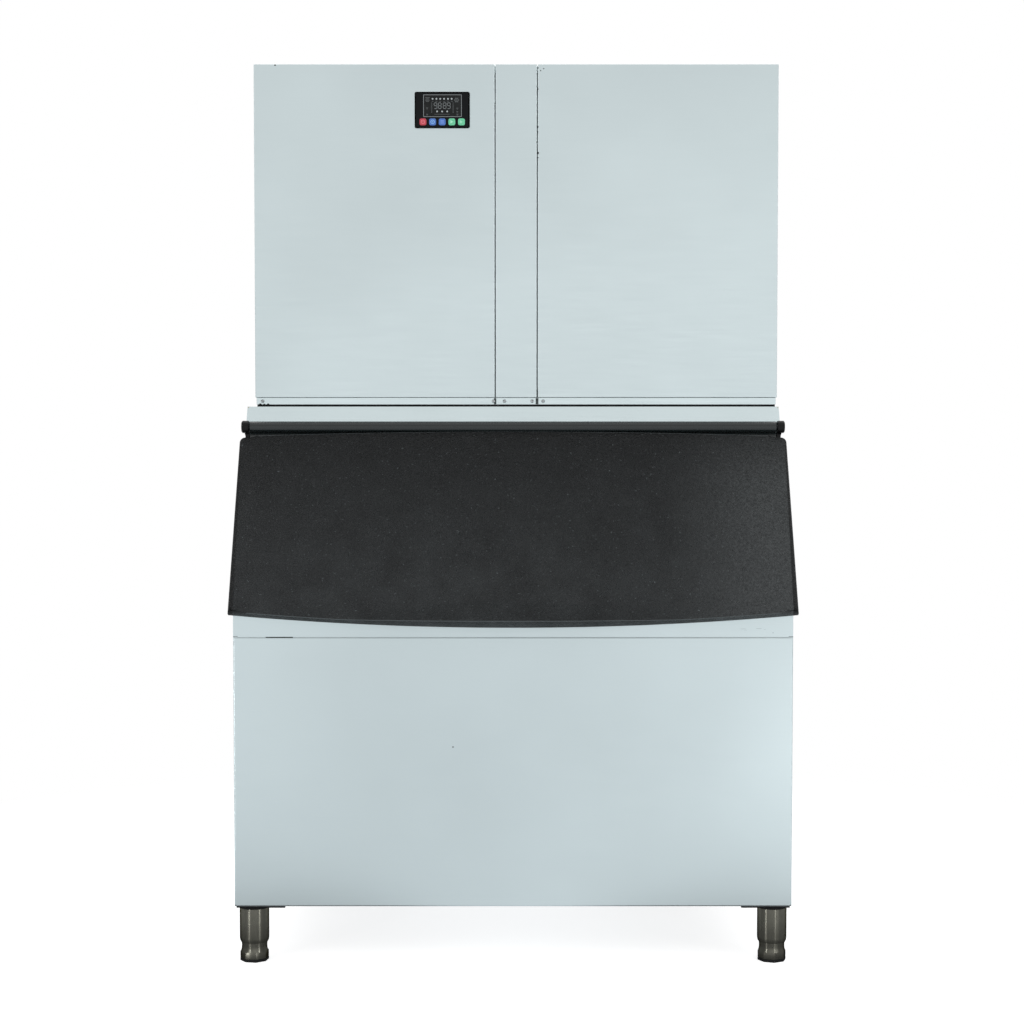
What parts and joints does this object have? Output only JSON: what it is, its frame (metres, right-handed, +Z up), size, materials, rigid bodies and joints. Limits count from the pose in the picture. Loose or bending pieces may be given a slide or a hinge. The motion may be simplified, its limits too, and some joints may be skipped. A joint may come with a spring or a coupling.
{
  "type": "cube ice machine",
  "caption": "Boxy steel ice making head with front panels and a small control plate, on an insulated bin with a sloped black lid and short round levelling legs.",
  "frame": {"origin": "on the floor, under the middle of the machine's box", "axes": "+Z up, front towards -Y, +X to the right of a person facing the front"},
  "size_m": [1.239, 0.9022, 2.0067],
  "materials": {
    "stainless_sheet": "satin brushed stainless sheet, pale blue-grey",
    "galvanised_sheet": "dull galvanised sheet",
    "black_grained_plastic": "black moulded plastic with a fine pebble grain",
    "black_moulded_plastic": "smooth black moulded plastic",
    "white_food_plastic": "white food-grade plastic, satin",
    "insulating_foam": "rigid polyurethane foam",
    "black_rubber": "soft black sealing rubber",
    "bright_steel": "bright machined steel",
    "nickel_plated_leg": "dark bright nickel plating",
    "black_painted_steel": "black painted steel plate",
    "gloss_black_panel": "glossy black plastic plate",
    "smoked_display": "smoked glossy display lens",
    "circuit_board": "green circuit board",
    "red_key": "satin red key cap",
    "blue_key": "satin blue key cap",
    "green_key": "satin green key cap",
    "black_enamel": "black enamelled steel can",
    "tinned_copper": "nickel and tin plated copper",
    "aluminium_fins": "plain aluminium",
    "clear_curtain_plastic": "clear plastic sheet"
  },
  "bodies": {
    "cabinet": {"bin_front_panel": "stainless_sheet", "bin_front_upper": "stainless_sheet", "bin_wrapper": "stainless_sheet", "bin_top_deck": "stainless_sheet", "head_base_tray": "stainless_sheet", "door_left": "stainless_sheet", "door_right": "stainless_sheet", "centre_strip": "stainless_sheet", "head_side_left": "stainless_sheet", "head_side_right": "stainless_sheet", "head_back": "stainless_sheet", "head_roof": "stainless_sheet", "bin_bottom_panel": "galvanised_sheet", "partition": "galvanised_sheet", "fan_shroud": "galvanised_sheet", "throat_frame": "black_moulded_plastic", "hinge_bracket_left": "black_moulded_plastic", "hinge_bracket_right": "black_moulded_plastic", "water_pump": "black_moulded_plastic", "power_gland": "black_moulded_plastic", "bin_liner": "white_food_plastic", "bin_drain": "white_food_plastic", "water_trough": "white_food_plastic", "evaporator_frame": "white_food_plastic", "spray_tube": "white_food_plastic", "insulation_tub": "insulating_foam", "insulation_hood": "insulating_foam", "head_seal": "black_rubber", "hinge_rod": "bright_steel", "fan_motor": "bright_steel", "water_inlet": "bright_steel", "leg_tube_front_left": "nickel_plated_leg", "leg_tube_front_right": "nickel_plated_leg", "leg_tube_rear_left": "nickel_plated_leg", "leg_tube_rear_right": "nickel_plated_leg", "leg_plate_front_left": "black_painted_steel", "leg_plate_front_right": "black_painted_steel", "leg_plate_rear_left": "black_painted_steel", "leg_plate_rear_right": "black_painted_steel", "control_bezel": "gloss_black_panel", "display_window": "smoked_display", "control_board": "circuit_board", "compressor": "black_enamel", "evaporator": "tinned_copper", "condenser": "aluminium_fins"},
    "lid": {"lid_shell": "black_grained_plastic", "lid_liner": "white_food_plastic", "lid_gasket": "black_rubber"},
    "fan": {"fan_blade": "aluminium_fins"},
    "curtain": {"water_curtain": "clear_curtain_plastic"},
    "float": {"float_arm": "white_food_plastic"},
    "foot_body_front_left": {"foot_front_left": "nickel_plated_leg"},
    "foot_body_front_right": {"foot_front_right": "nickel_plated_leg"},
    "foot_body_rear_left": {"foot_rear_left": "nickel_plated_leg"},
    "foot_body_rear_right": {"foot_rear_right": "nickel_plated_leg"},
    "body_key_red": {"key_red": "red_key"},
    "body_key_blue_left": {"key_blue_left": "blue_key"},
    "body_key_blue_right": {"key_blue_right": "blue_key"},
    "body_key_green_left": {"key_green_left": "green_key"},
    "body_key_green_right": {"key_green_right": "green_key"}
  },
  "joints": [
    {"name": "lid_hinge", "type": "hinge", "parent": "cabinet", "child": "lid", "pos_m": [0, -0.1893, 1.179], "axis": [-1, 0, 0], "range_deg": [0, 155]},
    {"name": "fan_spin", "type": "hinge", "parent": "cabinet", "child": "fan", "pos_m": [-0.293, 0.33015, 1.4422], "axis": [0, 1, 0], "continuous": true},
    {"name": "curtain_swing", "type": "hinge", "parent": "cabinet", "child": "curtain", "pos_m": [0.302, 0.08545, 1.9087], "axis": [-1, 0, 0], "range_deg": [0, 18]},
    {"name": "float_swing", "type": "hinge", "parent": "cabinet", "child": "float", "pos_m": [0.085, 0.18195, 1.3107], "axis": [0, -1, 0], "range_deg": [0, 25]},
    {"name": "foot_screw_front_left", "type": "slide", "parent": "cabinet", "child": "foot_body_front_left", "axis": [0, 0, -1], "range_m": [0, 0.035]},
    {"name": "foot_screw_front_right", "type": "slide", "parent": "cabinet", "child": "foot_body_front_right", "axis": [0, 0, -1], "range_m": [0, 0.035]},
    {"name": "foot_screw_rear_left", "type": "slide", "parent": "cabinet", "child": "foot_body_rear_left", "axis": [0, 0, -1], "range_m": [0, 0.035]},
    {"name": "foot_screw_rear_right", "type": "slide", "parent": "cabinet", "child": "foot_body_rear_right", "axis": [0, 0, -1], "range_m": [0, 0.035]},
    {"name": "key_red_press", "type": "slide", "parent": "cabinet", "child": "body_key_red", "axis": [0, 1, 0], "range_m": [0, 0.0008], "stiffness_N_per_m": 800},
    {"name": "key_blue_left_press", "type": "slide", "parent": "cabinet", "child": "body_key_blue_left", "axis": [0, 1, 0], "range_m": [0, 0.0008], "stiffness_N_per_m": 800},
    {"name": "key_blue_right_press", "type": "slide", "parent": "cabinet", "child": "body_key_blue_right", "axis": [0, 1, 0], "range_m": [0, 0.0008], "stiffness_N_per_m": 800},
    {"name": "key_green_left_press", "type": "slide", "parent": "cabinet", "child": "body_key_green_left", "axis": [0, 1, 0], "range_m": [0, 0.0008], "stiffness_N_per_m": 800},
    {"name": "key_green_right_press", "type": "slide", "parent": "cabinet", "child": "body_key_green_right", "axis": [0, 1, 0], "range_m": [0, 0.0008], "stiffness_N_per_m": 800}
  ]
}
